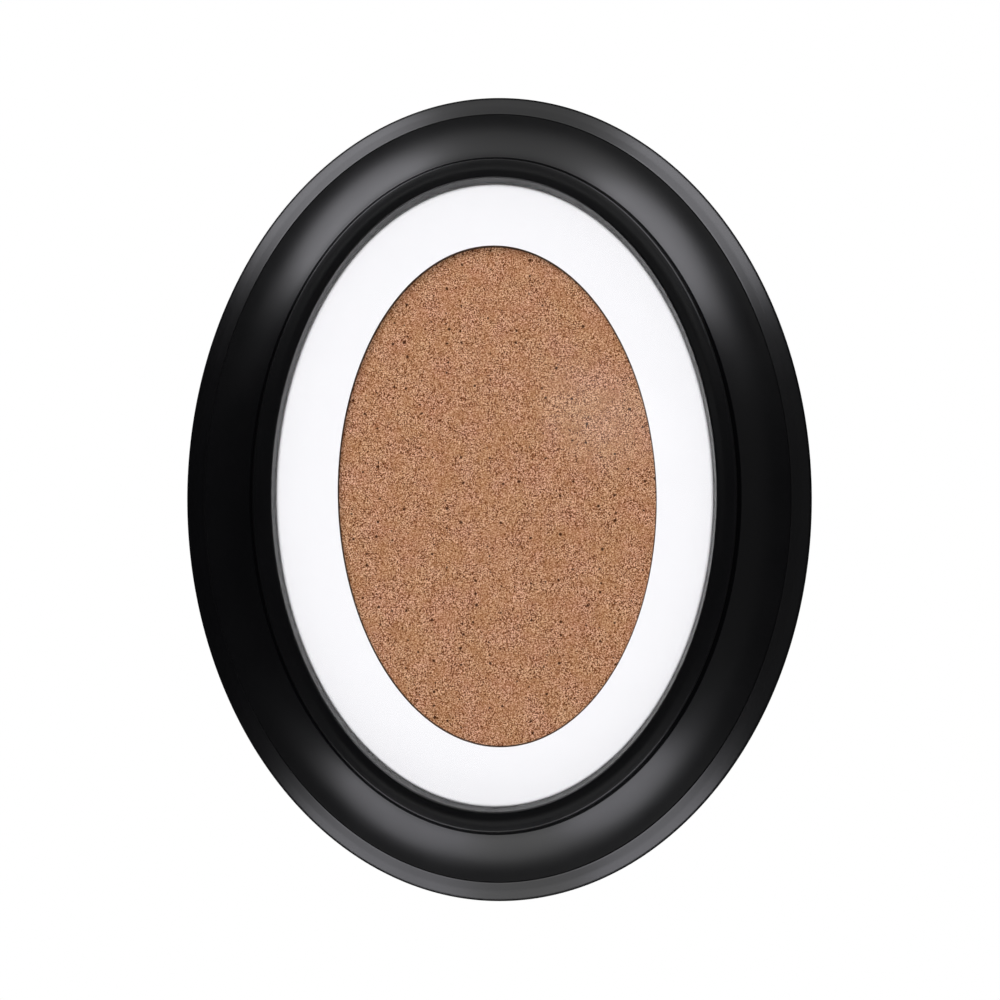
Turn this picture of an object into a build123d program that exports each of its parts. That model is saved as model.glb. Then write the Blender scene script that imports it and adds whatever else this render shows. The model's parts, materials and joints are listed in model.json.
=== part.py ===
"""Oval wall picture frame: a turned and painted moulding that holds glass, a window mat and a hardboard back.

Millimetres. +Z is up, the front faces -Y, the wall is the plane Y = 0 and the oval's centre is the origin.
An oval lathe takes the same inset off both half axes, so every line of the moulding is a true ellipse.
Insets are measured from the outer edge towards the centre, and heights from the wall towards the front.
"""

import os
from math import atan2, asin, cos, degrees, hypot, radians, sin, tan

from build123d import *

# Overall sizes. The glass, the mat and the board are cut to one oval.
glass_width = 127.0
glass_height = 177.8
rim_width = 25.9
frame_depth = 16.0
edge_play = 0.5

# Moulding: rounded rim and bead at the outside, a cove that climbs inwards, then the lip.
back_chamfer = 0.8
side_height = 1.6
rim_radius = 3.2
bead_slope = 28.0
bead_width = 7.35
bead_height = 6.9
bead_land = 0.2
quirk_width = 0.15
quirk_depth = 0.25
cove_start_slope = 4.0
cove_steps = 8
cove_top_height = 11.55
lip_width = 5.4
lip_wall_slope = 62.0
lip_overlap = 3.6
lip_thickness = 4.0
lip_crown = 0.3
lip_land = 1.2
shoulder_radius = 0.7
sight_radius = 0.7
crown_slope = 10.0
round_steps = 4

# Glazing stack, from the lip backwards.
glass_thickness = 2.0
mat_thickness = 1.5
board_thickness = 3.0
window_width = 87.7
window_height = 138.0
window_shift = 1.0
window_rise = -0.65
window_turn = 1.2

# Turn buttons, riveted to the back of the board, with their tips in a groove of the rebate wall.
button_count = 8
button_inset = 8.0
button_bite = 4.0
button_thickness = 1.2
button_tail_radius = 4.2
button_tip_radius = 3.2
button_gap = 0.1
groove_depth = 4.5
groove_headroom = 0.4

# Rivets, with a flange sunk into the front of the board and a round head at the back.
rivet_radius = 1.5
rivet_head_radius = 2.4
rivet_head_height = 1.1
rivet_head_round = 0.6
flange_radius = 2.5
flange_thickness = 0.6
flange_sink = 0.1
rivet_play = 0.05
running_play = 0.08

# Hangers: a strap folded round the straight bar of a wire ring.
sheet_thickness = 0.8
wire_radius = 0.8
strap_width = 8.4
strap_length = 7.8
strap_corner = 1.6
strap_gap = 0.1
strap_rivet_offset = 5.0
ring_bar_half = 8.0
ring_top_half = 4.2
ring_reach = 8.8
ring_corner = 2.2
ring_rest_gap = 0.1
hanger_edge_gap = 0.3

# Sizes that follow from those above.
outer_half_width = glass_width / 2 + rim_width
outer_half_height = glass_height / 2 + rim_width
rebate_inset = rim_width - edge_play
sight_inset = rim_width + lip_overlap
lip_inset = sight_inset - lip_width
glass_front = frame_depth - lip_thickness
mat_front = glass_front - glass_thickness
board_front = mat_front - mat_thickness
board_back = board_front - board_thickness
button_front = board_back - button_gap
button_back = button_front - button_thickness
head_front = button_back - button_gap
loop_inner = wire_radius + running_play
loop_outer = loop_inner + sheet_thickness
pivot_height = board_back - loop_outer - strap_gap

# The sketch plane of the wall: X to the right, Y up the wall, and Z out towards the front.
face = Plane(origin=(0, 0, 0), x_dir=(1, 0, 0), z_dir=(0, -1, 0))


def ovals(points):
    """The faces inside some lines of the moulding, each given by its inset and height."""
    faces = []
    for inset, height in points:
        with BuildSketch(face.offset(height)) as section:
            Ellipse(outer_half_width - inset, outer_half_height - inset)
        faces.append(section.sketch.face())
    return faces


def round_over(inset, height, radius, start, end, inwards=1):
    """Points of a rounded edge: a quarter turn or less, from the upright direction towards the flat."""
    angles = [radians(start + (end - start) * step / round_steps) for step in range(round_steps + 1)]
    return [(inset + inwards * radius * (1 - cos(a)), height + radius * sin(a)) for a in angles]


def cove_points(start, end):
    """Points of the circular arc that leaves the start at the cove's first slope and ends at the end."""
    run = end[0] - start[0]
    rise = end[1] - start[1]
    chord_slope = atan2(rise, run)
    first = radians(cove_start_slope)
    last = 2 * chord_slope - first
    radius = hypot(run, rise) / (2 * sin(chord_slope - first))
    slopes = [first + (last - first) * step / cove_steps for step in range(cove_steps + 1)]
    centre = (start[0] - radius * sin(first), start[1] + radius * cos(first))
    return [(centre[0] + radius * sin(a), centre[1] - radius * cos(a)) for a in slopes]


def button_places():
    """Each turn button's pivot on the board, and the direction square to the board's edge there."""
    half_width = glass_width / 2 - button_inset
    half_height = glass_height / 2 - button_inset
    places = []
    for index in range(button_count):
        turn = radians((index + 0.5) * 360 / button_count)
        outwards = Vector(cos(turn) / half_width, 0, sin(turn) / half_height).normalized()
        places.append(((half_width * cos(turn), half_height * sin(turn)), outwards))
    return places


def rivets(spots, seat_height):
    """A group of rivets through the board, with round heads at the back whose seats are at one height."""
    front = board_front - flange_sink
    with BuildPart() as group:
        with BuildSketch(face.offset(seat_height)):
            with Locations(*spots):
                Circle(rivet_head_radius)
        extrude(amount=-rivet_head_height)
        fillet(group.edges().group_by(Axis.Y)[-1], rivet_head_round)
        with BuildSketch(face.offset(seat_height)):
            with Locations(*spots):
                Circle(rivet_radius)
        extrude(amount=front - seat_height)
        with BuildSketch(face.offset(front)):
            with Locations(*spots):
                Circle(flange_radius)
        extrude(amount=-flange_thickness)
    return group


def finish(builder, name):
    """Name a finished piece and write it."""
    builder.part.label = name
    export_step(builder.part, f"parts/{name}.step")


os.makedirs("parts", exist_ok=True)
pivots = button_places()
pivot_spots = [spot for spot, outwards in pivots]

# Hangers sit just inside the board's edge, one at the top and one at the right as seen from the front.
hanger_reach = ring_reach + wire_radius + hanger_edge_gap
top_pivot = glass_height / 2 - hanger_reach
side_pivot = glass_width / 2 - hanger_reach
hanger_seats = {
    "top": Plane(origin=(0, -pivot_height, top_pivot), x_dir=(1, 0, 0), z_dir=(0, -1, 0)),
    "side": Plane(origin=(side_pivot, -pivot_height, 0), x_dir=(0, 0, -1), z_dir=(0, -1, 0)),
}
strap_rivet_spots = [(0, top_pivot - strap_rivet_offset), (side_pivot - strap_rivet_offset, 0)]

# Frame moulding: outer side and bead, the cove on it, the lip, and last the sight opening and the rebate.
rim = round_over(0, side_height, rim_radius, 0, 90 - bead_slope)
cove_start = (bead_width + quirk_width, bead_height - quirk_depth)
shoulder_height = frame_depth - lip_crown - shoulder_radius
shoulder = round_over(lip_inset, shoulder_height, shoulder_radius, 90 - lip_wall_slope, 90 - crown_slope)
lip_wall_run = (shoulder[0][1] - cove_top_height) / tan(radians(lip_wall_slope))
cove_end = (shoulder[0][0] - lip_wall_run, cove_top_height)
sight_edge_height = frame_depth - lip_crown - sight_radius
sight_edge = round_over(sight_inset, sight_edge_height, sight_radius, 0, 90 - crown_slope, inwards=-1)
lip_middle = (shoulder[-1][0] + sight_edge[-1][0]) / 2

side = [(back_chamfer, 0), (0, back_chamfer), (0, side_height)]
bevel = [rim[-1], (bead_width - bead_land, bead_height)]
quirk = [cove_start, (bead_width, bead_height)]
lip_wall = [cove_end, shoulder[0]]
outer_crown = [shoulder[-1], (lip_middle - lip_land / 2, frame_depth)]
inner_crown = [sight_edge[-1], (lip_middle + lip_land / 2, frame_depth)]
groove_back = button_back - button_gap
groove_height = button_thickness + button_gap + groove_headroom

with BuildPart() as frame_moulding:
    loft(ovals(side), ruled=True)
    loft(ovals(rim))
    loft(ovals(bevel), ruled=True)
    loft(ovals(quirk), ruled=True, mode=Mode.SUBTRACT)
    loft(ovals(cove_points(cove_start, cove_end)))
    loft(ovals(lip_wall), ruled=True)
    loft(ovals(shoulder))
    loft(ovals(outer_crown), ruled=True)
    loft(ovals(inner_crown), ruled=True, mode=Mode.SUBTRACT)
    loft(ovals(sight_edge), mode=Mode.SUBTRACT)
    extrude(ovals([(sight_inset, glass_front)])[0], amount=sight_edge_height - glass_front, mode=Mode.SUBTRACT)
    extrude(ovals([(rebate_inset, 0)])[0], amount=glass_front, mode=Mode.SUBTRACT)
    extrude(ovals([(rebate_inset - groove_depth, groove_back)])[0], amount=groove_height, mode=Mode.SUBTRACT)
finish(frame_moulding, "frame_moulding")

# Glass pane: float glass, ground to the oval.
with BuildPart() as glass_pane:
    with BuildSketch(face.offset(mat_front)):
        Ellipse(glass_width / 2, glass_height / 2)
    extrude(amount=glass_thickness)
finish(glass_pane, "glass_pane")

# Window mat: die-cut card. The window is cut a little askew, as the die left it.
with BuildPart() as window_mat:
    with BuildSketch(face.offset(board_front)):
        Ellipse(glass_width / 2, glass_height / 2)
        with Locations((window_shift, window_rise)):
            Ellipse(window_width / 2, window_height / 2, rotation=window_turn, mode=Mode.SUBTRACT)
    extrude(amount=mat_thickness)
finish(window_mat, "window_mat")

# Backing board: hardboard, drilled for the rivets, with a seat for each flange in its front.
rivet_spots = pivot_spots + strap_rivet_spots
with BuildPart() as backing_board:
    with BuildSketch(face.offset(board_back)):
        Ellipse(glass_width / 2, glass_height / 2)
        with Locations(*rivet_spots):
            Circle(rivet_radius + rivet_play, mode=Mode.SUBTRACT)
    extrude(amount=board_thickness)
    with BuildSketch(face.offset(board_front)):
        with Locations(*rivet_spots):
            Circle(flange_radius + rivet_play)
    extrude(amount=-(flange_thickness + flange_sink), mode=Mode.SUBTRACT)
finish(backing_board, "backing_board")

# Turn buttons: stamped steel, a round tail on the rivet and a narrower tip that lies in the groove.
tip_centre = button_inset + edge_play + button_bite - button_tip_radius
for number, (spot, outwards) in enumerate(pivots, start=1):
    seat = Plane(origin=(spot[0], -button_back, spot[1]), x_dir=outwards, z_dir=(0, -1, 0))
    with BuildPart() as turn_button:
        with BuildSketch(seat):
            Circle(button_tail_radius)
            with Locations((tip_centre, 0)):
                Circle(button_tip_radius)
            make_hull()
            Circle(rivet_radius + running_play, mode=Mode.SUBTRACT)
        extrude(amount=button_thickness)
    finish(turn_button, f"turn_button_{number}")

# Turn button rivets: one group of eight, with the heads behind the buttons.
turn_button_rivets = rivets(pivot_spots, head_front)
finish(turn_button_rivets, "turn_button_rivets")

# Hangers: the strap is two layers of sheet with a rolled loop, and the ring's bar runs in the loop.
strap_back = board_back - 2 * sheet_thickness
ring_lean = degrees(asin((board_back - ring_rest_gap - wire_radius - pivot_height) / ring_reach))
for side, seat in hanger_seats.items():
    with BuildPart() as hanger_strap:
        with BuildSketch(Plane(origin=seat.origin, x_dir=seat.y_dir, z_dir=seat.x_dir)):
            Circle(loop_outer)
            with Locations((0, strap_back - pivot_height)):
                Rectangle(strap_length, 2 * sheet_thickness, align=(Align.MAX, Align.MIN))
            Circle(loop_inner, mode=Mode.SUBTRACT)
        extrude(amount=strap_width / 2, both=True)
        tail_corners = hanger_strap.edges().filter_by(Axis.Y).sort_by(Axis(seat.origin, seat.y_dir))[:2]
        fillet(tail_corners, strap_corner)
        with BuildSketch(seat):
            with Locations((0, -strap_rivet_offset)):
                Circle(rivet_radius + rivet_play)
        extrude(amount=board_back, both=True, mode=Mode.SUBTRACT)
    finish(hanger_strap, f"{side}_hanger_strap")

    leaning = seat.z_dir.rotate(Axis((0, 0, 0), seat.x_dir), ring_lean)
    with BuildPart() as hanger_ring:
        with BuildLine(Plane(origin=seat.origin, x_dir=seat.x_dir, z_dir=leaning)) as ring_path:
            FilletPolyline(
                (-ring_bar_half, 0),
                (ring_bar_half, 0),
                (ring_top_half, ring_reach),
                (-ring_top_half, ring_reach),
                radius=ring_corner,
                close=True,
            )
        ring_wire = ring_path.wire()
        with BuildSketch(Plane(origin=ring_wire @ 0, z_dir=ring_wire % 0)):
            Circle(wire_radius)
        sweep(path=ring_wire)
    finish(hanger_ring, f"{side}_hanger_ring")

# Hanger rivets: one group of two, with the heads behind the straps.
hanger_rivets = rivets(strap_rivet_spots, strap_back)
finish(hanger_rivets, "hanger_rivets")
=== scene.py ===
import json

import bpy
import numpy as np
from mathutils import Matrix


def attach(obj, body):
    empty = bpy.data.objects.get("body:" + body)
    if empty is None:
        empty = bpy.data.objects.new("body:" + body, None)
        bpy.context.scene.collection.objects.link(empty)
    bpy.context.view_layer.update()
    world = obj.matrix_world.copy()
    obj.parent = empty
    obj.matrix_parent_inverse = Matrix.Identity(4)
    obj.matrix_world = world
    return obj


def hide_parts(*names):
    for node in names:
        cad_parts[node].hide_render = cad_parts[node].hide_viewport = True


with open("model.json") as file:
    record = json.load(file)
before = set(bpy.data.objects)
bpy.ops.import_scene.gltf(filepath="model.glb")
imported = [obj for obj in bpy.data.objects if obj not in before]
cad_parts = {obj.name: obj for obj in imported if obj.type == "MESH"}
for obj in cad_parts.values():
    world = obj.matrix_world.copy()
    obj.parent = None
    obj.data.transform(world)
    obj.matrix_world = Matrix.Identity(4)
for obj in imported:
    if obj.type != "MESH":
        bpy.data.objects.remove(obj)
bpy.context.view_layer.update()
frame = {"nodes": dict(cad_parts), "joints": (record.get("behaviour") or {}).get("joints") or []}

# Frame moulding: an oval ring of wood, turned on an oval lathe and sprayed with satin black lacquer.
# The lathe takes the same inset off both half axes, so each line of its profile is a true ellipse.
# The back and the rebate are turned clean and only catch a thin, dull coat with the wood under it.
mm = 0.001
moulding_half_axes = np.array([89.4, 114.8]) * mm
moulding_turns = 384
moulding_corner_steps = 7
cove_slopes = np.radians(np.linspace(4.0, 34.4, 29))
cove_radius = 29.6
cove_start = np.array([7.45, 6.62])
moulding_side = np.array([
    # inset, height, corner radius, share of the lacquer over the wood, and 1 on the lip's outer wall, whose
    # faces are dulled to black as painted shade
    [25.2, 0.0, 0.05, 0.10, 0.0],
    [0.8, 0.0, 0.30, 0.30, 0.0],
    [0.0, 0.8, 0.30, 1.00, 0.0],
    [0.0, 3.52, 3.20, 1.00, 0.0],
    [4.2, 5.62, 10.0, 1.00, 0.0],
    [6.65, 6.52, 0.60, 1.00, 0.0],
    [7.15, 6.80, 0.15, 1.00, 0.0],
    [7.30, 6.62, 0.05, 1.00, 0.0],
    [7.45, 6.62, 0.0, 1.00, 0.0],
])
moulding_lip = np.array([
    [21.90, 11.58, 0.0, 1.00, 1.0],
    [22.17, 11.72, 0.05, 1.00, 1.0],
    [23.85, 14.70, 0.0, 1.00, 1.0],
    [24.32, 15.60, 0.50, 1.00, 0.0],
    [25.80, 15.89, 12.0, 1.00, 0.0],
    [27.20, 15.98, 8.00, 1.00, 0.0],
    [29.50, 15.80, 0.55, 1.00, 0.0],
    [29.50, 12.05, 0.05, 0.60, 0.0],
    [25.40, 12.05, 0.15, 0.15, 0.0],
    [25.40, 5.80, 0.15, 0.10, 0.0],
    [20.90, 5.80, 0.15, 0.05, 0.0],
    [20.90, 4.10, 0.15, 0.05, 0.0],
    [25.40, 4.10, 0.15, 0.10, 0.0],
    [25.40, 0.20, 0.05, 0.10, 0.0],
])


def softened(corners, radii, steps):
    """A closed outline whose corners are arcs: each arc starts where its radius touches the side before the
    corner and swings by the angle between the two sides. Points that fall together are kept once."""
    before = corners - np.roll(corners, 1, axis=0)
    after = np.roll(corners, -1, axis=0) - corners
    before = before / np.linalg.norm(before, axis=1, keepdims=True)
    after = after / np.linalg.norm(after, axis=1, keepdims=True)
    cross = before[:, 0] * after[:, 1] - before[:, 1] * after[:, 0]
    turn = np.arctan2(cross, (before * after).sum(axis=1))
    start = corners - before * (radii * np.tan(np.abs(turn) / 2))[:, None]
    arm = np.stack([before[:, 1], -before[:, 0]], axis=1) * (np.sign(turn) * radii)[:, None]
    swing = turn[:, None] * np.linspace(0, 1, steps)
    across = (start - arm)[:, :1] + np.cos(swing) * arm[:, :1] - np.sin(swing) * arm[:, 1:]
    along = (start - arm)[:, 1:] + np.sin(swing) * arm[:, :1] + np.cos(swing) * arm[:, 1:]
    outline = np.stack([across, along], axis=-1).reshape(-1, 2)
    source = np.repeat(np.arange(len(corners)), steps)
    apart = np.linalg.norm(outline - np.roll(outline, 1, axis=0), axis=1) > 1e-5
    return outline[apart], source[apart]


def grid_mesh(name, points, ring=True, around=True, capped=False):
    """A mesh from a grid of points in rows and columns, or from several grids alike: each cell is a face. The
    rows of a ring close, the columns close where they go around, and the first and last row may be capped."""
    grids = points.reshape(-1, *points.shape[-3:])
    index = np.arange(grids[..., 0].size).reshape(grids.shape[:3])
    wrapped = np.concatenate([index, index[:, :1]], axis=1) if ring else index
    wrapped = np.concatenate([wrapped, wrapped[:, :, :1]], axis=2) if around else wrapped
    cells = [wrapped[:, :-1, :-1], wrapped[:, :-1, 1:], wrapped[:, 1:, 1:], wrapped[:, 1:, :-1]]
    faces = np.stack(cells, axis=-1).reshape(-1, 4).tolist()
    if capped:
        faces += index[:, 0, ::-1].tolist() + index[:, -1].tolist()
    mesh = bpy.data.meshes.new(name)
    mesh.from_pydata(grids.reshape(-1, 3).tolist(), [], faces)
    mesh.shade_smooth()
    return mesh


def shown(name, mesh, material, body):
    """An object at the origin that shows a mesh in one material and rides on a body of the frame."""
    piece = bpy.data.objects.new(name, mesh)
    bpy.context.scene.collection.objects.link(piece)
    mesh.materials.append(material)
    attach(piece, body)
    return piece


def even_normals(piece):
    """Shading that follows the large faces, so that the narrow arcs at the corners don't tint them."""
    weighted = piece.modifiers.new("even_normals", "WEIGHTED_NORMAL")
    weighted.weight = 80


def place(tree, kind, inputs=(), **settings):
    """A node: settings are its own fields, and inputs give each socket a value or another node's output."""
    made = tree.nodes.new(kind)
    for field, value in settings.items():
        setattr(made, field, value)
    for socket, value in dict(inputs).items():
        if isinstance(value, bpy.types.NodeSocket):
            tree.links.new(value, made.inputs[socket])
        else:
            made.inputs[socket].default_value = value
    return made


def ramp(tree, factor, stops):
    """A colour ramp through some stops, each a place from 0 to 1 and a colour."""
    made = place(tree, "ShaderNodeValToRGB", {"Fac": factor})
    made.color_ramp.elements.remove(made.color_ramp.elements[1])
    made.color_ramp.elements[0].position, made.color_ramp.elements[0].color = stops[0]
    for position, colour in stops[1:]:
        made.color_ramp.elements.new(position).color = colour
    return made.outputs["Color"]


def sums(tree, operation, first, second, third=0.0):
    """One step of arithmetic on values."""
    return place(tree, "ShaderNodeMath", {0: first, 1: second, 2: third}, operation=operation).outputs[0]


def new_material(name):
    """An empty material with its output, a Principled shader and the piece's own coordinates."""
    material = bpy.data.materials.new(name)
    material.use_nodes = True
    tree = material.node_tree
    tree.nodes.clear()
    output = place(tree, "ShaderNodeOutputMaterial")
    shader = place(tree, "ShaderNodeBsdfPrincipled")
    tree.links.new(shader.outputs[0], output.inputs["Surface"])
    return material, tree, shader, place(tree, "ShaderNodeTexCoord").outputs["Object"]


def blotch_group():
    """Cloudy variation and fine grain for any finish: two sizes of noise, as values round one half."""
    group = bpy.data.node_groups.new("blotches", "ShaderNodeTree")
    face = group.interface
    face.new_socket("Vector", in_out="INPUT", socket_type="NodeSocketVector")
    face.new_socket("Cloud Scale", in_out="INPUT", socket_type="NodeSocketFloat")
    face.new_socket("Grain Scale", in_out="INPUT", socket_type="NodeSocketFloat")
    face.new_socket("Cloud", in_out="OUTPUT", socket_type="NodeSocketFloat")
    face.new_socket("Grain", in_out="OUTPUT", socket_type="NodeSocketFloat")
    given = place(group, "NodeGroupInput").outputs
    cloud = place(group, "ShaderNodeTexNoise", {
        "Vector": given["Vector"], "Scale": given["Cloud Scale"], "Detail": 3.0, "Roughness": 0.55})
    grain = place(group, "ShaderNodeTexNoise", {
        "Vector": given["Vector"], "Scale": given["Grain Scale"], "Detail": 2.0, "Roughness": 0.6})
    place(group, "NodeGroupOutput", {"Cloud": cloud.outputs[0], "Grain": grain.outputs[0]})
    return group


def blotches(tree, where, cloud_scale, grain_scale):
    """The blotch group in a material, with its sizes given as features in a metre."""
    made = place(tree, "ShaderNodeGroup", node_tree=bpy.data.node_groups["blotches"])
    tree.links.new(where, made.inputs["Vector"])
    made.inputs["Cloud Scale"].default_value = cloud_scale
    made.inputs["Grain Scale"].default_value = grain_scale
    return made.outputs


def bumped(tree, height, strength, depth):
    """A normal that is bent by a height."""
    return place(tree, "ShaderNodeBump", {
        "Height": height, "Strength": strength, "Distance": depth}).outputs["Normal"]


def black_lacquer(name, shine):
    """Satin black: nearly black, with an orange peel too fine to see except in the lights. Where the coat is
    thin the wood shows through in streaks, and there it is dull. The shine is its specular level."""
    material, tree, shader, where = new_material(name)
    shader.inputs["Specular IOR Level"].default_value = shine
    blotch = blotches(tree, where, 60.0, 1300.0)
    coat = place(tree, "ShaderNodeAttribute", attribute_name="coat").outputs["Fac"]
    streaks = place(tree, "ShaderNodeTexNoise", {
        "Vector": place(tree, "ShaderNodeMapping", {
            "Vector": where, "Scale": (1500.0, 1500.0, 90.0)}).outputs[0],
        "Scale": 1.0, "Detail": 3.0})
    bare = place(tree, "ShaderNodeMapRange", {
        "Value": sums(tree, "SUBTRACT", streaks.outputs[0], coat),
        "From Min": 0.05, "From Max": 0.55}).outputs[0]
    colour = place(tree, "ShaderNodeMix", {
        "Factor": bare, "A": (0.0014, 0.0014, 0.0017, 1.0),
        "B": (0.100, 0.062, 0.036, 1.0)}, data_type="RGBA")
    tree.links.new(colour.outputs["Result"], shader.inputs["Base Color"])
    gloss = place(tree, "ShaderNodeMapRange", {
        "Value": blotch["Cloud"], "From Min": 0.3, "From Max": 0.7,
        "To Min": 0.28, "To Max": 0.32}).outputs[0]
    dull = sums(tree, "MULTIPLY_ADD", sums(tree, "SUBTRACT", 1.0, coat), 0.35, gloss)
    tree.links.new(dull, shader.inputs["Roughness"])
    peel = sums(tree, "MULTIPLY_ADD", bare, 0.8, blotch["Grain"])
    tree.links.new(bumped(tree, peel, 0.25, 0.02 * mm), shader.inputs["Normal"])
    return material


def moulding_points():
    """The profile's rounded corners with the cove's arc between them, carried round the oval: the point at
    angle t has the half axes less its inset, times cos t and sin t. With it go the share of lacquer at each
    point, and which faces lie between two corners of the lip's outer wall, where the lacquer is dulled to
    black as painted shade."""
    first = cove_slopes[0]
    lean = np.stack([np.sin(cove_slopes) - np.sin(first), np.cos(first) - np.cos(cove_slopes)], axis=1)
    plain = np.tile([0.0, 1.0, 0.0], (len(lean), 1))
    cove = np.column_stack([cove_start + cove_radius * lean, plain])
    corners = np.concatenate([moulding_side, cove[1:-1], moulding_lip])
    outline, source = softened(corners[:, :2], corners[:, 2], moulding_corner_steps)
    angle = np.linspace(0, 2 * np.pi, moulding_turns, endpoint=False)[:, None]
    half_axes = moulding_half_axes - outline[:, :1] * mm
    height = np.broadcast_to(outline[:, 1] * mm, (moulding_turns, len(outline)))
    points = np.stack([half_axes[:, 0] * np.cos(angle), -height, half_axes[:, 1] * np.sin(angle)], axis=-1)
    coat = np.broadcast_to(corners[source, 3], height.shape)
    painted_shade_faces = corners[source, 4] * np.roll(corners[source, 4], -1)
    return points, coat, np.broadcast_to(painted_shade_faces, height.shape)


blotch_group()
moulding_grid, moulding_coat, moulding_painted_shade = moulding_points()
moulding_mesh = grid_mesh("frame_moulding_turned", moulding_grid)
moulding_mesh.attributes.new("coat", "FLOAT", "POINT").data.foreach_set("value", moulding_coat.ravel())
moulding = shown("frame_moulding_turned", moulding_mesh, black_lacquer("black_lacquer", 0.5), "frame")
# The faces of the lip's outer wall get a second lacquer with its shine almost gone, so they render black:
# painted shade, the dark line at the foot of the lip.
moulding_mesh.materials.append(black_lacquer("black_painted_shade", 0.02))
moulding_mesh.polygons.foreach_set("material_index", moulding_painted_shade.ravel().astype(np.int32))
even_normals(moulding)
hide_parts("frame_moulding")

# Glass pane: two millimetres of clear float glass, cut to the oval and ground smooth along its edge.
# It lies loose against the back of the lip, and the mat and the board press it there.
glass_half_axes = np.array([63.5, 88.9]) * mm
glass_heights = np.array([10.00, 12.00]) * mm
glass_bevel = 0.3 * mm
glass_turns = 256


def glass_points():
    """An oval edge in four rows: in by the bevel at the back, full size twice, and in again in front."""
    angle = np.linspace(0, 2 * np.pi, glass_turns, endpoint=False)
    inset = np.array([glass_bevel, 0, 0, glass_bevel])[:, None]
    height = np.array([glass_heights[0], glass_heights[0] + glass_bevel,
                       glass_heights[1] - glass_bevel, glass_heights[1]])[:, None]
    half_axes = glass_half_axes - inset
    across = half_axes[:, :1] * np.cos(angle)
    up = half_axes[:, 1:] * np.sin(angle)
    return np.stack([across, np.broadcast_to(-height, across.shape), up], axis=-1)


def clear_glass():
    """Clear glass with a few faint smears on it. Light that only passes on its way to a surface goes
    straight through."""
    material, tree, shader, where = new_material("clear_glass")
    blotch = blotches(tree, where, 45.0, 900.0)
    shader.inputs["Base Color"].default_value = (1.0, 1.0, 1.0, 1.0)
    shader.inputs["IOR"].default_value = 1.5
    shader.inputs["Transmission Weight"].default_value = 1.0
    smear = place(tree, "ShaderNodeMapRange", {
        "Value": blotch["Cloud"], "From Min": 0.55, "From Max": 0.80,
        "To Min": 0.0, "To Max": 0.05}).outputs[0]
    tree.links.new(smear, shader.inputs["Roughness"])
    path = place(tree, "ShaderNodeLightPath").outputs
    passing = sums(tree, "MAXIMUM", path["Is Shadow Ray"], path["Is Diffuse Ray"])
    straight = place(tree, "ShaderNodeBsdfTransparent", {"Color": (0.990, 0.990, 0.990, 1.0)})
    blend = place(tree, "ShaderNodeMixShader", {0: passing, 1: shader.outputs[0], 2: straight.outputs[0]})
    output = tree.nodes["Material Output"]
    tree.links.new(blend.outputs[0], output.inputs["Surface"])
    return material


glass_mesh = grid_mesh("glass_pane_ground", glass_points(), ring=False, capped=True)
glass_mesh.shade_flat()
glass = shown("glass_pane_ground", glass_mesh, clear_glass(), "frame")
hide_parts("glass_pane")

# Window mat: white card, die-cut to the oval, with an oval window that the die left a little askew.
# It lies between the glass and the board, and the window's edge is cut straight through.
mat_half_axes = np.array([63.5, 88.9]) * mm
mat_heights = np.array([8.50, 9.97]) * mm
window_half_axes = np.array([43.85, 69.0]) * mm
window_centre = np.array([1.0, -0.65]) * mm
window_turn = np.radians(1.2)
mat_edge_radius = 0.12
mat_edge_steps = 5
mat_turns = 320


def mat_points():
    """A rectangle with rounded corners carried round: its inner side follows the window, its outer side the
    oval, and each point between has its share of the way from the one to the other."""
    width = (mat_half_axes - window_half_axes).mean()
    low, high = mat_heights / mm
    corners = np.array([[0, low], [0, high], [width / mm, high], [width / mm, low]])
    outline = softened(corners, np.full(4, mat_edge_radius), mat_edge_steps)[0] * mm
    angle = np.linspace(0, 2 * np.pi, mat_turns, endpoint=False)
    across, up = window_half_axes[0] * np.cos(angle), window_half_axes[1] * np.sin(angle)
    window = window_centre + np.stack([
        across * np.cos(window_turn) - up * np.sin(window_turn),
        across * np.sin(window_turn) + up * np.cos(window_turn)], axis=-1)
    oval = mat_half_axes * np.stack([np.cos(angle), np.sin(angle)], axis=-1)
    share = (outline[:, 0] / width)[None, :, None]
    spread = window[:, None] + (oval - window)[:, None] * share
    height = np.broadcast_to(outline[:, 1], spread.shape[:2])
    cut = np.broadcast_to(outline[:, 0] < 0.5 * mat_edge_radius * mm, height.shape)
    return np.stack([spread[..., 0], -height, spread[..., 1]], axis=-1)[:, ::-1], cut[:, ::-1]


def white_card():
    """Smooth white paper with faint clouding and fibre. The cut edge is painted dark brown: partly the card's
    core, partly painted shade along the window's edge.
    """
    material, tree, shader, where = new_material("white_card")
    blotch = blotches(tree, where, 120.0, 2600.0)
    tone = sums(tree, "MULTIPLY_ADD", blotch["Grain"], 0.35, blotch["Cloud"])
    colour = ramp(tree, tone, [(0.45, (0.962, 0.956, 0.956, 1.0)), (0.95, (0.970, 0.964, 0.963, 1.0))])
    cut = place(tree, "ShaderNodeAttribute", attribute_name="cut").outputs["Fac"]
    # The dark brown on the cut edge is partly the core and partly painted shade along the window's edge.
    core_and_shade = ramp(tree, blotch["Grain"], [
        (0.35, (0.055, 0.036, 0.024, 1.0)), (0.65, (0.130, 0.090, 0.062, 1.0))])
    paper = place(tree, "ShaderNodeMix", {"Factor": cut, "A": colour, "B": core_and_shade}, data_type="RGBA")
    tree.links.new(paper.outputs["Result"], shader.inputs["Base Color"])
    shader.inputs["Roughness"].default_value = 0.75
    shader.inputs["Specular IOR Level"].default_value = 0.25
    tree.links.new(bumped(tree, blotch["Grain"], 0.10, 0.01 * mm), shader.inputs["Normal"])
    return material


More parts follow.
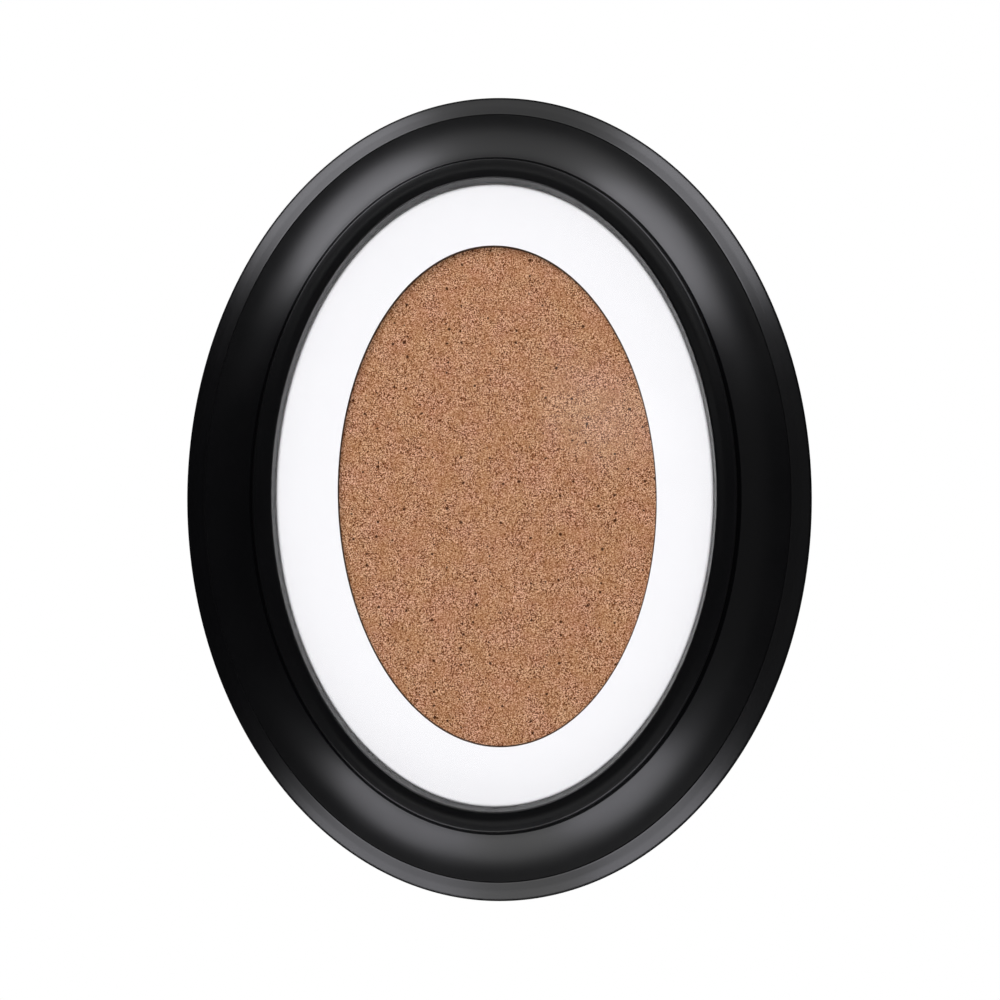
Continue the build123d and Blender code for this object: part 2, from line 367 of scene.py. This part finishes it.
mat_grid, mat_cut = mat_points()
mat_mesh = grid_mesh("window_mat_cut", mat_grid)
mat_mesh.attributes.new("cut", "FLOAT", "POINT").data.foreach_set("value", mat_cut.ravel().astype(float))
mat = shown("window_mat_cut", mat_mesh, white_card(), "frame")
even_normals(mat)
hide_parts("window_mat")

# Backing board: brown hardboard, sawn to the oval and drilled. The front was pressed smooth and shows
# its fibres as fine specks. The back still carries the weave of the screen that it was pressed on.
board_front = 8.50 * mm
screen_pitch = 1.3 * mm


def hardboard():
    """Matted wood fibre. The front has fine specks that are strong in some patches and faint in others, tan
    and pink clouds, and a few burnt dots. The darker back has crossed ridges. The height in the board tells
    front from back."""
    material, tree, shader, where = new_material("hardboard")
    blotch = blotches(tree, where, 110.0, 3200.0)
    axes = place(tree, "ShaderNodeSeparateXYZ", {"Vector": where}).outputs
    back = place(tree, "ShaderNodeMapRange", {
        "Value": axes["Y"], "From Min": -board_front + 0.05 * mm,
        "From Max": -board_front + 0.3 * mm}).outputs[0]
    fibre = place(tree, "ShaderNodeTexNoise", {
        "Vector": where, "Scale": 1900.0, "Detail": 3.0, "Roughness": 0.7, "Distortion": 0.8}).outputs[0]
    patch = place(tree, "ShaderNodeTexNoise", {"Vector": where, "Scale": 210.0, "Detail": 2.0}).outputs[0]
    strength = place(tree, "ShaderNodeMapRange", {
        "Value": patch, "From Min": 0.35, "From Max": 0.65, "To Min": 0.95, "To Max": 2.05}).outputs[0]
    mixed = sums(tree, "MULTIPLY_ADD", fibre, 0.40, sums(tree, "MULTIPLY_ADD", blotch["Grain"], 0.60, -0.5))
    speck = sums(tree, "MULTIPLY_ADD", mixed, strength, 0.5)
    tan = ramp(tree, speck, [
        (0.360, (0.068, 0.010, 0.001, 1.0)), (0.415, (0.182, 0.054, 0.013, 1.0)),
        (0.450, (0.270, 0.102, 0.037, 1.0)), (0.480, (0.360, 0.158, 0.070, 1.0)),
        (0.500, (0.418, 0.195, 0.096, 1.0)), (0.525, (0.480, 0.236, 0.124, 1.0)),
        (0.565, (0.585, 0.325, 0.188, 1.0)), (0.620, (0.770, 0.480, 0.310, 1.0))])
    warmth = ramp(tree, blotch["Cloud"], [
        (0.36, (0.99, 1.01, 0.96, 1.0)), (0.50, (1.0, 1.0, 1.0, 1.0)), (0.64, (1.01, 0.98, 1.04, 1.0))])
    blush = place(tree, "ShaderNodeMix", {
        "Factor": 1.0, "A": tan, "B": warmth}, data_type="RGBA", blend_type="MULTIPLY")
    flat = place(tree, "ShaderNodeCombineXYZ", {"X": axes["X"], "Y": axes["Z"]}).outputs[0]
    jitter = place(tree, "ShaderNodeTexNoise", {"Vector": where, "Scale": 1500.0}).outputs["Color"]
    ragged = place(tree, "ShaderNodeVectorMath", {
        0: jitter, 1: (0.6 * mm, 0.6 * mm, 0.0), 2: flat}, operation="MULTIPLY_ADD").outputs[0]
    dots = place(tree, "ShaderNodeTexVoronoi", {
        "Vector": ragged, "Scale": 260.0}, voronoi_dimensions="2D").outputs
    chance = place(tree, "ShaderNodeSeparateColor", {"Color": dots["Color"]}).outputs
    size = sums(tree, "MULTIPLY_ADD", chance["Green"], 0.07, 0.04)
    inside = place(tree, "ShaderNodeMapRange", {
        "Value": sums(tree, "SUBTRACT", dots["Distance"], size),
        "From Min": -0.02, "From Max": 0.02, "To Min": 0.95, "To Max": 0.0}).outputs[0]
    burnt = sums(tree, "MULTIPLY", inside, sums(tree, "GREATER_THAN", chance["Red"], 0.66))
    front = place(tree, "ShaderNodeMix", {
        "Factor": burnt, "A": blush.outputs["Result"], "B": (0.040, 0.007, 0.001, 1.0)}, data_type="RGBA")
    ridge = 2 * np.pi / screen_pitch
    weave = sums(tree, "MULTIPLY",
                 sums(tree, "SINE", sums(tree, "MULTIPLY", axes["X"], ridge), 0.0),
                 sums(tree, "SINE", sums(tree, "MULTIPLY", axes["Z"], ridge), 0.0))
    rough = ramp(tree, sums(tree, "MULTIPLY_ADD", weave, 0.12, speck), [
        (0.30, (0.090, 0.038, 0.018, 1.0)), (0.50, (0.215, 0.105, 0.055, 1.0)),
        (0.70, (0.330, 0.180, 0.100, 1.0))])
    colour = place(tree, "ShaderNodeMix", {
        "Factor": back, "A": front.outputs["Result"], "B": rough}, data_type="RGBA")
    tree.links.new(colour.outputs["Result"], shader.inputs["Base Color"])
    shader.inputs["Roughness"].default_value = 0.80
    shader.inputs["Specular IOR Level"].default_value = 0.10
    relief = sums(tree, "MULTIPLY_ADD", sums(tree, "MULTIPLY", weave, back), 1.5, speck)
    tree.links.new(bumped(tree, relief, 0.35, 0.08 * mm), shader.inputs["Normal"])
    return material


board = frame["nodes"]["backing_board"]
board.data.materials.clear()
board.data.materials.append(hardboard())

# Turn buttons: stamped from steel strip and zinc plated, with the edges rolled over by the tumbling.
# Each one swivels on its rivet, and its narrow tip lies in the groove of the rebate.
button_thickness = 1.2
button_back = 4.2
button_tail_radius = 4.2
button_tip_radius = 3.2
button_tip_centre = 9.3
button_hole_radius = 1.58
button_edge_radius = 0.3
button_turns = 96
button_oval = np.array([55.5, 80.9]) * mm


def plating_group():
    """Zinc plating: a cool grey that clouds from bright to dull, with fine brushed scratches as a height."""
    group = bpy.data.node_groups.new("zinc_plating", "ShaderNodeTree")
    face = group.interface
    face.new_socket("Vector", in_out="INPUT", socket_type="NodeSocketVector")
    face.new_socket("Bright", in_out="INPUT", socket_type="NodeSocketColor")
    face.new_socket("Dull", in_out="INPUT", socket_type="NodeSocketColor")
    face.new_socket("Color", in_out="OUTPUT", socket_type="NodeSocketColor")
    face.new_socket("Roughness", in_out="OUTPUT", socket_type="NodeSocketFloat")
    face.new_socket("Height", in_out="OUTPUT", socket_type="NodeSocketFloat")
    given = place(group, "NodeGroupInput").outputs
    bloom = place(group, "ShaderNodeTexNoise", {
        "Vector": given["Vector"], "Scale": 420.0, "Detail": 4.0, "Roughness": 0.65}).outputs[0]
    scratch = place(group, "ShaderNodeTexNoise", {
        "Vector": place(group, "ShaderNodeMapping", {
            "Vector": given["Vector"], "Rotation": (0.0, 0.5, 0.0),
            "Scale": (300.0, 3000.0, 6000.0)}).outputs[0],
        "Scale": 1.0, "Detail": 2.0}).outputs[0]
    clouded = place(group, "ShaderNodeMapRange", {
        "Value": bloom, "From Min": 0.35, "From Max": 0.65}).outputs[0]
    colour = place(group, "ShaderNodeMix", {
        "Factor": clouded, "A": given["Bright"], "B": given["Dull"]}, data_type="RGBA").outputs["Result"]
    shine = place(group, "ShaderNodeMapRange", {
        "Value": sums(group, "MULTIPLY_ADD", scratch, 0.4, bloom),
        "From Min": 0.45, "From Max": 0.95, "To Min": 0.24, "To Max": 0.46}).outputs[0]
    place(group, "NodeGroupOutput", {"Color": colour, "Roughness": shine, "Height": scratch})
    return group


def plated_steel(name, bright, dull):
    """Steel under zinc plating, in the two greys that the plating clouds between."""
    material, tree, shader, where = new_material(name)
    plating = place(tree, "ShaderNodeGroup", node_tree=bpy.data.node_groups["zinc_plating"])
    tree.links.new(where, plating.inputs["Vector"])
    plating.inputs["Bright"].default_value = bright
    plating.inputs["Dull"].default_value = dull
    shader.inputs["Metallic"].default_value = 1.0
    tree.links.new(plating.outputs["Color"], shader.inputs["Base Color"])
    tree.links.new(plating.outputs["Roughness"], shader.inputs["Roughness"])
    tree.links.new(bumped(tree, plating.outputs["Height"], 0.15, 0.01 * mm), shader.inputs["Normal"])
    return material


def edge_rows(low, high, radius):
    """Insets and heights of a rounded sheet edge, from its back face round to its front face."""
    quarter = np.linspace(0, np.pi / 2, 5)
    inset = radius * np.concatenate([1 - np.sin(quarter), 1 - np.cos(quarter)])
    height = np.concatenate([low + radius * (1 - np.cos(quarter)), high - radius * (1 - np.sin(quarter))])
    return inset, height


def button_points(pivot, outwards):
    """The outline is the hull of a tail circle and a tip circle: for each direction, the point of whichever
    circle reaches further. The rounded edge rows step in from it, and those of the hole step out."""
    angle = np.linspace(0, 2 * np.pi, button_turns, endpoint=False)
    way = np.stack([np.cos(angle), np.sin(angle)], axis=-1)
    reaches_tip = button_tip_centre * way[:, :1] + button_tip_radius > button_tail_radius
    tip = np.array([button_tip_centre, 0]) + button_tip_radius * way
    outer = np.where(reaches_tip, tip, button_tail_radius * way)
    hole = button_hole_radius * way
    inset, height = edge_rows(button_back, button_back + button_thickness, button_edge_radius)
    outer_rows = outer - inset[:, None, None] * way
    hole_rows = hole + inset[::-1, None, None] * way
    flat = np.concatenate([outer_rows, hole_rows]) * mm
    depth = np.concatenate([height, height[::-1]]) * mm
    sideways = np.array([-outwards[1], outwards[0]])
    spot = np.array([pivot[0], pivot[2]]) + flat[..., :1] * outwards + flat[..., 1:] * sideways
    return np.stack([spot[..., 0], np.broadcast_to(-depth[:, None], spot.shape[:2]), spot[..., 1]], axis=-1)


plating_group()
button_steel = plated_steel("button_steel", (0.66, 0.66, 0.67, 1.0), (0.50, 0.50, 0.50, 1.0))
button_pivots = []
for joint in frame["joints"]:
    if joint["name"].startswith("turn_button"):
        pivot = np.array(joint["pos_m"])
        square = pivot[[0, 2]] / button_oval ** 2
        outwards = square / np.linalg.norm(square)
        button_mesh = grid_mesh(joint["child"] + "_stamped", button_points(pivot, outwards))
        button = shown(joint["child"] + "_stamped", button_mesh, button_steel, joint["child"])
        even_normals(button)
        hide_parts(joint["child"])
        button_pivots.append(pivot)

# Turn button rivets: semi-tubular steel rivets, put through from the back and rolled over in the front
# of the board. Their heads are low domes with a dimple that the setting tool left.
rivet_shank = 1.45
rivet_head = np.array([
    # radius and depth behind the seat
    [0.25, 0.86], [0.55, 0.88], [0.95, 1.06], [1.30, 1.10], [1.70, 1.04], [2.05, 0.86],
    [2.28, 0.58], [2.39, 0.28], [2.40, 0.06], [2.36, 0.0], [rivet_shank, 0.0],
])
flange_radius = 2.5
flange_front = 8.40
flange_thickness = 0.6
flange_edge = 0.15
flange_hollow = 0.9
rivet_turns = 40
button_rivet_seat = 4.1


def rivet_points(spots, seat):
    """A profile turned round each rivet's axis: dome, seat, shank, and flange in the front of the board."""
    flange = np.array([
        [rivet_shank, flange_front - flange_thickness], [flange_radius, flange_front - flange_thickness],
        [flange_radius, flange_front - flange_edge], [flange_radius - flange_edge, flange_front],
        [flange_hollow, flange_front]])
    head = np.stack([rivet_head[:, 0], seat - rivet_head[:, 1]], axis=-1)
    profile = np.concatenate([head, flange]) * mm
    angle = np.linspace(0, 2 * np.pi, rivet_turns, endpoint=False)
    across = profile[:, :1] * np.cos(angle)
    up = profile[:, :1] * np.sin(angle)
    height = np.broadcast_to(profile[:, 1:], across.shape)
    return np.asarray(spots)[:, None, None] + np.stack([across, -height, up], axis=-1)


def rivet_piece(name, spots, seat, node, material):
    """One mesh for a group of rivets: the same turned surface at each spot."""
    mesh = grid_mesh(name, rivet_points(spots, seat), ring=False, capped=True)
    piece = shown(name, mesh, material, "frame")
    even_normals(piece)
    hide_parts(node)


rivet_steel = plated_steel("rivet_steel", (0.72, 0.72, 0.72, 1.0), (0.54, 0.54, 0.55, 1.0))
button_rivet_spots = [(pivot[0], 0.0, pivot[2]) for pivot in button_pivots]
rivet_piece(
    "turn_button_rivets_set", button_rivet_spots, button_rivet_seat, "turn_button_rivets", rivet_steel)

# Hanger straps: a strip of plated sheet steel, folded double round the ring's bar and riveted to the board.
# The fold leaves a round eye for the bar, and the tail corners are cut round.
strap_half_width = 4.2
strap_tail = -7.8
strap_corner = 1.6
strap_sheet = 0.78
hanger_height = 3.72
eye_radius = 1.28
eye_turn = np.radians(np.linspace(78, -168, 15))
strap_edge_radius = 0.12 * mm
strap_edge_angle = np.radians(50)
strap_bends = np.array([
    # along the strap and height, from the tail by the board round the eye to the tail at the back
    [strap_tail, 5.1], [-5.0, 5.1], [-2.2, 5.1], [-0.9, 5.07],
])
strap_return = np.array([[-1.75, 4.24], [-2.6, 4.3], [-5.0, 4.3], [strap_tail, 4.3]])
hanger_places = {
    "top": (np.array([0, 79.0]) * mm, np.array([0, 1.0])),
    "side": (np.array([53.6, 0]) * mm, np.array([1.0, 0])),
}


def smooth_path(points, steps):
    """A curve through points, each stretch a cubic whose ends run parallel to the chord of the neighbours."""
    padded = np.concatenate([2 * points[:1] - points[1:2], points, 2 * points[-1:] - points[-2:-1]])
    before, start, end, after = padded[:-3], padded[1:-2], padded[2:-1], padded[3:]
    share = np.linspace(0, 1, steps, endpoint=False)[:, None, None]
    curve = 0.5 * (
        2 * start + (end - before) * share
        + (2 * before - 5 * start + 4 * end - after) * share ** 2
        + (3 * start - before - 3 * end + after) * share ** 3)
    return np.concatenate([curve.transpose(1, 0, 2).reshape(-1, 2), points[-1:]])


def strap_points(spot, outwards):
    """A flat cross-section carried along the fold: half the sheet to each side of the path, and half the
    width across, less where the tail corners are cut round."""
    eye = np.stack([eye_radius * np.cos(eye_turn), hanger_height + eye_radius * np.sin(eye_turn)], axis=-1)
    path = smooth_path(np.concatenate([strap_bends, eye, strap_return]), 4)
    run = np.gradient(path, axis=0)
    run /= np.linalg.norm(run, axis=1, keepdims=True)
    normal = np.stack([-run[:, 1], run[:, 0]], axis=-1)
    short = np.clip(strap_corner - (path[:, 0] - strap_tail), 0, strap_corner)
    half_width = strap_half_width - strap_corner + np.sqrt(strap_corner ** 2 - short ** 2)
    section = np.array([[1, 1], [1, -1], [-1, -1], [-1, 1]])
    flat = path[:, None] + normal[:, None] * section[:, :1] * strap_sheet / 2
    across = half_width[:, None] * section[:, 1]
    sideways = np.array([outwards[1], -outwards[0]])
    place_on_board = spot + flat[..., :1] * mm * outwards + across[..., None] * mm * sideways
    return np.stack([place_on_board[..., 0], -flat[..., 1] * mm, place_on_board[..., 1]], axis=-1)


zinc_plate = plated_steel("zinc_plate", (0.66, 0.65, 0.62, 1.0), (0.48, 0.47, 0.45, 1.0))
for side, (spot, outwards) in hanger_places.items():
    strap_grid = strap_points(spot, outwards)
    strap_mesh = grid_mesh(side + "_hanger_strap_folded", strap_grid, ring=False, capped=True)
    strap = shown(side + "_hanger_strap_folded", strap_mesh, zinc_plate, "frame")
    rounding = strap.modifiers.new("rolled_edges", "BEVEL")
    rounding.width = strap_edge_radius
    rounding.segments = 2
    rounding.angle_limit = strap_edge_angle
    even_normals(strap)
    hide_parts(side + "_hanger_strap")

# Hanger rings: plated steel wire, bent to a flared loop and closed with its ends butted inside the strap's
# eye. Each one swings on its bar, from lying outwards on the board to lying inwards.
ring_corners = np.array([[-8.0, 0], [8.0, 0], [4.2, 8.8], [-4.2, 8.8]])
ring_corner_radius = 2.2
ring_corner_steps = 13
ring_wire_sides = 20
ring_wire_radius = 0.8
ring_lean = np.radians(5.74)


def ring_points(spot, outwards):
    """A round wire carried along a rounded trapezium that leans a little towards the board."""
    path = softened(ring_corners, np.full(4, ring_corner_radius), ring_corner_steps)[0]
    following = np.roll(path, -1, axis=0)
    share = np.linspace(0, 1, 4, endpoint=False)[:, None, None]
    path = (path + (following - path) * share).transpose(1, 0, 2).reshape(-1, 2)
    run = np.roll(path, -1, axis=0) - np.roll(path, 1, axis=0)
    run /= np.linalg.norm(run, axis=1, keepdims=True)
    normal = np.stack([run[:, 1], -run[:, 0]], axis=-1)
    angle = np.linspace(0, 2 * np.pi, ring_wire_sides, endpoint=False)
    flat = path[:, None] + normal[:, None] * (ring_wire_radius * np.cos(angle))[:, None]
    lift = ring_wire_radius * np.sin(angle)
    reach = flat[..., 1] * np.cos(ring_lean) - lift * np.sin(ring_lean)
    height = hanger_height + flat[..., 1] * np.sin(ring_lean) + lift * np.cos(ring_lean)
    sideways = np.array([outwards[1], -outwards[0]])
    place_on_board = spot + reach[..., None] * mm * outwards + flat[..., :1] * mm * sideways
    return np.stack([place_on_board[..., 0], -height * mm, place_on_board[..., 1]], axis=-1)


ring_wire = plated_steel("ring_wire", (0.74, 0.74, 0.74, 1.0), (0.58, 0.58, 0.58, 1.0))
for side, (spot, outwards) in hanger_places.items():
    ring_mesh = grid_mesh(side + "_hanger_ring_bent", ring_points(spot, outwards))
    ring = shown(side + "_hanger_ring_bent", ring_mesh, ring_wire, side + "_hanger_ring")
    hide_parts(side + "_hanger_ring")

# Hanger rivets: the same semi-tubular steel rivets as the buttons have, one through each strap, with the
# head on the strap and the flange rolled over in the front of the board.
strap_rivet_offset = 5.0 * mm
strap_rivet_seat = 3.90
hanger_rivet_spots = [np.insert(spot - strap_rivet_offset * outwards, 1, 0.0)
                      for spot, outwards in hanger_places.values()]
rivet_piece("hanger_rivets_set", hanger_rivet_spots, strap_rivet_seat, "hanger_rivets", rivet_steel)

# Floor: a plain pale disc of matt card, laid well below the frame, which hangs in front of nothing.
# It is cut from one sheet and fades out towards its rim, so that no edge shows.
floor_height = -0.75
floor_radius = 1.0
floor_turns = 96


def pale_floor():
    """Matt off-white that turns transparent towards the disc's rim."""
    material, tree, shader, where = new_material("pale_floor")
    blotch = blotches(tree, where, 4.0, 60.0)
    colour = ramp(tree, blotch["Cloud"], [(0.3, (0.86, 0.86, 0.86, 1.0)), (0.7, (0.90, 0.90, 0.90, 1.0))])
    tree.links.new(colour, shader.inputs["Base Color"])
    shader.inputs["Roughness"].default_value = 0.9
    away = place(tree, "ShaderNodeVectorMath", {
        0: where, 1: (1.0, 1.0, 0.0)}, operation="MULTIPLY").outputs[0]
    reach = place(tree, "ShaderNodeVectorMath", {0: away}, operation="LENGTH").outputs["Value"]
    fade = place(tree, "ShaderNodeMapRange", {
        "Value": reach, "From Min": 0.35 * floor_radius, "From Max": floor_radius}).outputs[0]
    through = place(tree, "ShaderNodeBsdfTransparent")
    blend = place(tree, "ShaderNodeMixShader", {0: fade, 1: shader.outputs[0], 2: through.outputs[0]})
    tree.links.new(blend.outputs[0], tree.nodes["Material Output"].inputs["Surface"])
    return material


floor_angle = np.linspace(0, 2 * np.pi, floor_turns, endpoint=False)
floor_rim = floor_radius * np.stack([np.cos(floor_angle), np.sin(floor_angle), 0 * floor_angle], axis=-1)
floor_mesh = bpy.data.meshes.new("floor")
floor_mesh.from_pydata((floor_rim + (0, 0, floor_height)).tolist(), [], [list(range(floor_turns))])
floor_mesh.materials.append(pale_floor())
floor = bpy.data.objects.new("floor", floor_mesh)
bpy.context.scene.collection.objects.link(floor)

# Flags: black cards round the frame that only reflections see, as a photographer puts them round a dark gloss
# object: one behind the camera so the glass stays clear, and one at each side. Every card carries a painted
# glow, an emission and not a lamp. It is faint on the black ones and strong on three cards among them, whose
# painted light gives the sheen above and below and the faint light patch on the glass.
flag_rows, flag_columns = 33, 17


def flag_points(azimuths, off_axis, distance):
    """A patch of a sphere round the frame: azimuth round the line of sight, and the angle off that line."""
    azimuth = np.radians(np.linspace(*azimuths, flag_rows))[:, None]
    angle = np.radians(np.linspace(*off_axis, flag_columns))[None]
    level = np.ones_like(azimuth)
    return distance * np.stack([
        np.cos(azimuth) * np.sin(angle), -np.cos(angle) * level, np.sin(azimuth) * np.sin(angle)], axis=-1)


def flag_glow(glow, soft):
    """The glow at each point: even, or half a sine wave each way so that it dies out at the card's edges."""
    along = np.sin(np.linspace(0, np.pi, flag_rows))[:, None]
    across = np.sin(np.linspace(0, np.pi, flag_columns))[None]
    return glow * (along * across if soft else np.ones((flag_rows, flag_columns)))


def flag_cloth():
    """Black felt with a little lint in it, which glows with the strength written on the card: painted light,
    given off as emission and not by a lamp.
    """
    material, tree, shader, where = new_material("flag_cloth")
    blotch = blotches(tree, where, 6.0, 200.0)
    colour = ramp(tree, blotch["Grain"], [
        (0.3, (0.002, 0.002, 0.002, 1.0)), (0.8, (0.006, 0.006, 0.006, 1.0))])
    tree.links.new(colour, shader.inputs["Base Color"])
    shader.inputs["Roughness"].default_value = 1.0
    shader.inputs["Specular IOR Level"].default_value = 0.0
    shader.inputs["Emission Color"].default_value = (1.0, 1.0, 1.0, 1.0)
    glow = place(tree, "ShaderNodeAttribute", attribute_name="glow").outputs["Fac"]
    tree.links.new(glow, shader.inputs["Emission Strength"])
    return material


flags = {
    # azimuth round the line of sight and angle off it, each from and to, the distance, the glow, soft edges
    "flag_front": ((0, 360), (0, 32), 0.62, 0.008, False),
    "flag_ring": ((0, 360), (38, 53), 0.62, 0.02, False),
    "flag_ring_left": ((80, 288), (53, 58), 0.62, 0.02, False),
    "flag_ring_right": ((6, 46), (53, 58), 0.62, 0.02, False),
    "flag_gap_left": ((140, 230), (32, 38), 0.62, 0.01, False),
    "flag_gap_right": ((-50, 36), (32, 38), 0.62, 0.02, False),
    "flag_behind": ((0, 360), (90, 152), 0.62, 0.01, False),
    "flag_left": ((144, 226), (52, 94), 0.62, 0.01, False),
    "flag_right": ((-46, 34), (52, 94), 0.62, 0.09, False),
    "card_below": ((262, 284), (58, 91), 0.62, 1.5, False),
    "card_above": ((74, 102), (58, 91), 0.62, 0.75, False),
    "card_faint": ((18, 88), (6.5, 18), 0.60, 0.60, True),
}
felt = flag_cloth()
for name, (azimuths, off_axis, distance, glow, soft) in flags.items():
    flag_mesh = grid_mesh(name, flag_points(azimuths, off_axis, distance), ring=False, around=False)
    glows = flag_glow(glow, soft).ravel()
    flag_mesh.attributes.new("glow", "FLOAT", "POINT").data.foreach_set("value", glows)
    flag_mesh.materials.append(felt)
    flag = bpy.data.objects.new(name, flag_mesh)
    bpy.context.scene.collection.objects.link(flag)
    flag.visible_camera = False
    flag.visible_diffuse = False
    flag.visible_shadow = False

# Light: four tall soft boxes beside the frame, at the places where the moulding shows its four bright
# patches, a soft light straight in front, a broad one behind, and an even white surround. Half of what the
# board gets comes from above and left, which lays the shadow of the mat along the top of the window.
soft_box_colour = (0.93, 0.92, 1.0)
plain_lamp_colour = (0.97, 0.97, 1.0)
lamps = {
    # azimuth round the line of sight, angle off it, distance, width and length in metres, radiance, whether
    # reflections show it, and whether the board is all that it lights, is left out, or is lit as the rest is
    "lamp_upper_right": (50, 79, 0.72, 0.44, 0.62, 2.55, True, None),
    "lamp_upper_left": (124, 79, 0.72, 0.46, 0.62, 2.5, True, None),
    "lamp_lower_left": (247, 79, 0.72, 0.46, 0.62, 1.95, True, None),
    "lamp_lower_right": (302, 79, 0.72, 0.44, 0.62, 2.15, True, None),
    "lamp_front": (90, 1, 2.00, 0.50, 0.50, 48.2, False, "EXCLUDE"),
    "lamp_board_front": (90, 1, 2.00, 0.50, 0.50, 25.6, False, "INCLUDE"),
    "lamp_board_above": (114, 51, 2.00, 1.40, 1.40, 5.5, False, "INCLUDE"),
    "lamp_back": (90, 165, 2.00, 1.20, 1.20, 6.5, False, None),
}
for name, (azimuth, off_axis, distance, width, length, radiance, reflected, board_state) in lamps.items():
    light = bpy.data.lights.new(name, "AREA")
    light.shape = "ELLIPSE" if reflected else "RECTANGLE"
    light.size = width
    light.size_y = length
    light.color = soft_box_colour if reflected else plain_lamp_colour
    light.energy = radiance * np.pi * width * length * (np.pi / 4 if reflected else 1.0)
    lamp = bpy.data.objects.new(name, light)
    bpy.context.scene.collection.objects.link(lamp)
    around, off = np.radians(azimuth), np.radians(off_axis)
    towards = np.array([np.cos(around) * np.sin(off), -np.cos(off), np.sin(around) * np.sin(off)])
    outwards = np.array([np.cos(around) * np.cos(off), np.sin(off), np.sin(around) * np.cos(off)])
    facing = np.eye(4)
    facing[:3, :3] = np.stack([np.cross(outwards, towards), outwards, towards], axis=1)
    facing[:3, 3] = towards * distance
    lamp.matrix_world = Matrix(facing.tolist())
    lamp.visible_camera = False
    lamp.visible_glossy = reflected
    lamp.visible_transmission = reflected
    lamp.visible_diffuse = not reflected
    if board_state:
        lit = bpy.data.collections.new(name + "_lit")
        lit.objects.link(board)
        lit.collection_objects[0].light_linking.link_state = board_state
        lamp.light_linking.receiver_collection = lit

surround = bpy.data.worlds.new("surround")
surround.use_nodes = True
bpy.context.scene.world = surround
sky = surround.node_tree
sky.nodes.clear()
seen = place(sky, "ShaderNodeLightPath").outputs
straight_view = sums(sky, "MAXIMUM", seen["Is Camera Ray"], seen["Is Glossy Ray"])
straight_view = sums(sky, "MAXIMUM", straight_view, seen["Is Transmission Ray"])
white = place(sky, "ShaderNodeBackground", {"Color": (1.0, 1.0, 1.0, 1.0), "Strength": 1.0})
fill = place(sky, "ShaderNodeBackground", {"Color": (0.98, 0.985, 1.0, 1.0), "Strength": 0.16})
mixed = place(sky, "ShaderNodeMixShader", {0: straight_view, 1: fill.outputs[0], 2: white.outputs[0]})
place(sky, "ShaderNodeOutputWorld", {"Surface": mixed.outputs[0]})
surround.cycles.sampling_method = "NONE"

# Camera: a close, slightly wide view from just right of and below the centre, as worked out from how the
# ovals of the moulding shift and grow with their height.
sensor_width = 36.0
focal_share = 0.7788
camera_spot = np.array([12.35, -224.29, -9.80]) * mm
camera_data = bpy.data.cameras.new("camera")
camera_data.sensor_width = sensor_width
camera_data.lens = focal_share * sensor_width
camera_data.clip_start = 0.01
camera = bpy.data.objects.new("camera", camera_data)
bpy.context.scene.collection.objects.link(camera)
pitch, yaw, roll = np.radians([1.968, 2.724, -0.162])
about_x = np.array([[1, 0, 0], [0, np.cos(pitch), -np.sin(pitch)], [0, np.sin(pitch), np.cos(pitch)]])
about_y = np.array([[np.cos(yaw), 0, np.sin(yaw)], [0, 1, 0], [-np.sin(yaw), 0, np.cos(yaw)]])
about_z = np.array([[np.cos(roll), -np.sin(roll), 0], [np.sin(roll), np.cos(roll), 0], [0, 0, 1]])
turned = about_z @ about_y @ about_x
to_world = np.array([[1, 0, 0], [0, 0, -1], [0, 1, 0]])
pose = np.eye(4)
pose[:3, :3] = to_world @ turned
pose[:3, 3] = camera_spot
camera.matrix_world = Matrix(pose.tolist())
bpy.context.scene.camera = camera

bpy.context.scene.view_settings.view_transform = "Standard"
